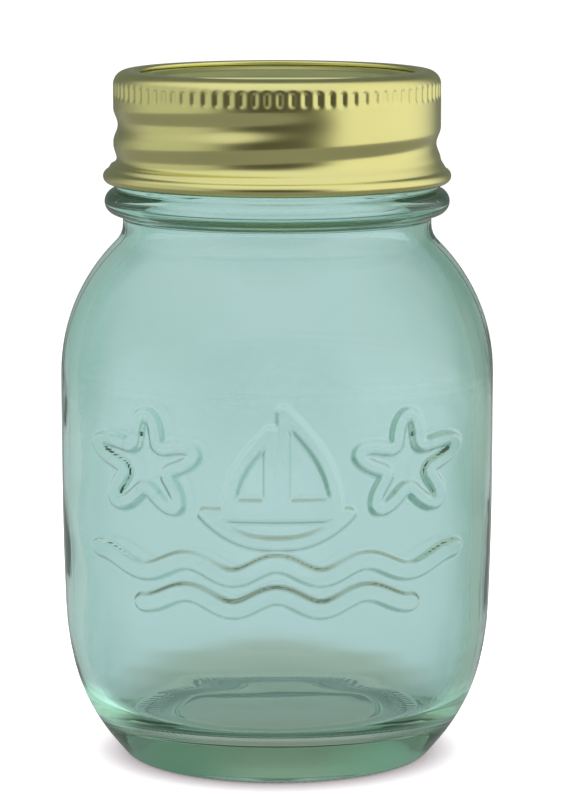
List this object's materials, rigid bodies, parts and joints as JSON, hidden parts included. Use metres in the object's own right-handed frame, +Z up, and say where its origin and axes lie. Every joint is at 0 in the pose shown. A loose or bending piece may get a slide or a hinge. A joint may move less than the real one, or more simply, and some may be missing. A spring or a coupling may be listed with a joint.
{
  "type": "coin bank jar",
  "caption": "Moulded glass jar used as a savings bank, closed by a slotted disc under a screw band that unscrews and lifts off.",
  "frame": {"origin": "centre of the jar's standing ring, on the surface it stands on", "axes": "+Z up along the jar's axis, -Y towards the front with the relief, +X to the right seen from the front"},
  "size_m": [0.076, 0.0766, 0.121],
  "materials": {
    "aqua_glass": "clear pressed glass with a blue-green tint",
    "seal_compound": "matt",
    "disc_tinplate": "satin gold lacquer on tinplate",
    "band_tinplate": "gloss gold lacquer on tinplate"
  },
  "bodies": {
    "jar": {"glass_jar": "aqua_glass"},
    "disc": {"slot_disc": "disc_tinplate", "sealing_ring": "seal_compound"},
    "band": {"screw_band": "band_tinplate"}
  },
  "joints": [
    {"name": "lid_lift", "type": "slide", "parent": "jar", "child": "disc", "axis": [0, 0, 1], "range_m": [0, 0.0255]},
    {"name": "band_turn", "type": "hinge", "parent": "disc", "child": "band", "pos_m": [0, 0, 0.11], "axis": [0, 0, 1], "range_deg": [0, 1440]}
  ],
  "couplings": [
    {"joint": "lid_lift", "follows": "band_turn", "m_per_rad": 0.0010106}
  ]
}
